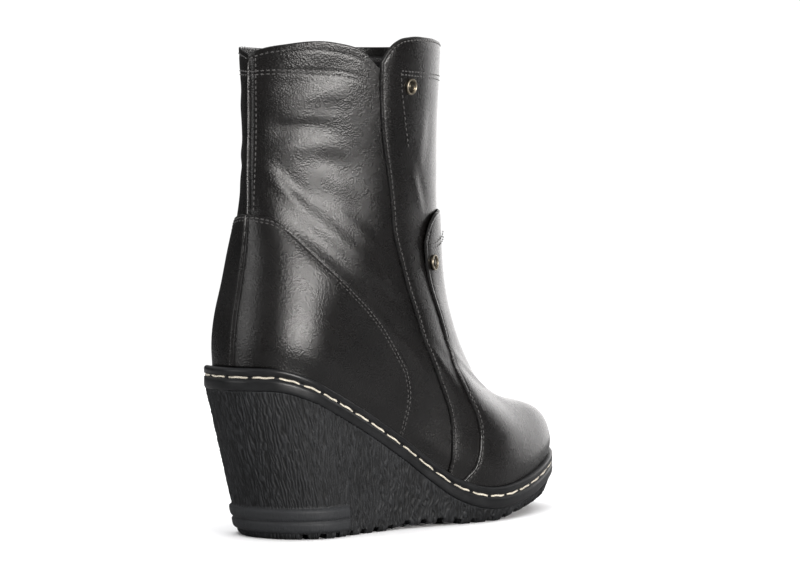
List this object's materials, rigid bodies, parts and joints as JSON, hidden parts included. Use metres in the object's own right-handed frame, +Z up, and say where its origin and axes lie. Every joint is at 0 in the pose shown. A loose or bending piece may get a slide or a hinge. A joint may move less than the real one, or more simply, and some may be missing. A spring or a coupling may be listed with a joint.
{
  "type": "ankle boot",
  "caption": "Right ankle boot on a moulded wedge sole, with a stitched welt, a heel counter and two snapped flaps down the front.",
  "frame": {"origin": "on the floor under the middle of the boot's box", "axes": "+Z up, toe towards -Y, lateral side towards -X, medial side towards +X"},
  "size_m": [0.0896, 0.2398, 0.2412],
  "materials": {
    "upper": "smooth black leather with a dark lining",
    "heel_counter": "smooth black leather, glossy",
    "front_panel": "smooth black leather, glossy",
    "vamp": "smooth black leather, glossy",
    "insole": "dark lining cloth",
    "welt": "satin charcoal",
    "wedge_sole": "matt charcoal, ribbed",
    "snap_upper": "antique",
    "snap_lower": "antique"
  },
  "bodies": {
    "root": {"upper": "upper", "heel_counter": "heel_counter", "front_panel": "front_panel", "vamp": "vamp", "insole": "insole", "welt": "welt", "wedge_sole": "wedge_sole", "snap_upper": "snap_upper", "snap_lower": "snap_lower"}
  },
  "joints": []
}
